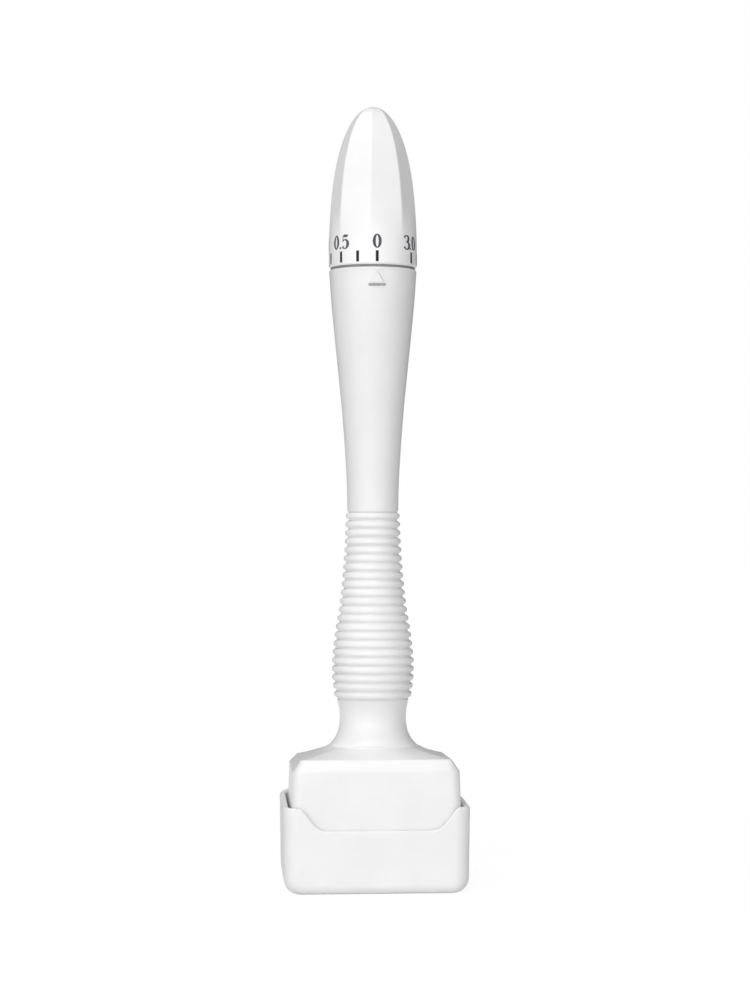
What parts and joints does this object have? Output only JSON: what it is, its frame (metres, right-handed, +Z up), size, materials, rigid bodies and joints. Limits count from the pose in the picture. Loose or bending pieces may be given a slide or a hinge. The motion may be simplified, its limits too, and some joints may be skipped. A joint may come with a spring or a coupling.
{
  "type": "adjustable derma stamp",
  "caption": "Hand-held adjustable derma stamp with a ribbed grip, a faceted depth dial and a rectangular needle head standing in its protective cap.",
  "frame": {"origin": "centre of the protective cap's base", "axes": "+Z up the handle from the cap to the tip of the dial, -Y is the side with the pointer, +X to the right as seen from there"},
  "size_m": [0.0354, 0.0276, 0.15],
  "materials": {
    "cap_plastic": "fine matte white moulding",
    "head_plastic": "fine matte white moulding",
    "grip_plastic": "satin white moulding with ribs",
    "handle_gloss": "glossy white moulding",
    "dial_gloss": "glossy white moulding with a printed grey scale",
    "inner_acetal": "natural acetal, off-white",
    "dark_nylon": "dark grey nylon",
    "bright_steel": "bright drawn stainless steel",
    "drive_brass": "turned brass"
  },
  "bodies": {
    "cap": {"protective_cap": "cap_plastic"},
    "handle": {"head_housing": "head_plastic", "face_plate": "head_plastic", "rod_guide": "inner_acetal", "return_spring": "bright_steel", "grip_sleeve": "grip_plastic", "handle_body": "handle_gloss", "thrust_washer": "dark_nylon", "retaining_ring": "inner_acetal", "detent_ring": "inner_acetal", "slip_washer": "dark_nylon"},
    "dial": {"dial_knob": "dial_gloss", "drive_sleeve": "drive_brass", "detent_ball": "bright_steel", "detent_spring": "bright_steel"},
    "carriage": {"push_rod": "inner_acetal", "spring_clip": "bright_steel", "needle_carriage": "inner_acetal", "carriage_screw": "bright_steel", "needle_array": "bright_steel"}
  },
  "joints": [
    {"name": "handle_lift", "type": "slide", "parent": "cap", "child": "handle", "axis": [0, 0, 1], "range_m": [0, 0.03]},
    {"name": "dial_turn", "type": "hinge", "parent": "handle", "child": "dial", "pos_m": [0, 0, 0.119], "axis": [0, 0, 1], "range_deg": [0, 306]},
    {"name": "needle_travel", "type": "slide", "parent": "handle", "child": "carriage", "axis": [0, 0, -1], "range_m": [0, 0.003], "deforming": ["return_spring"]}
  ],
  "couplings": [
    {"joint": "needle_travel", "follows": "dial_turn", "m_per_rad": 0.00056172}
  ]
}
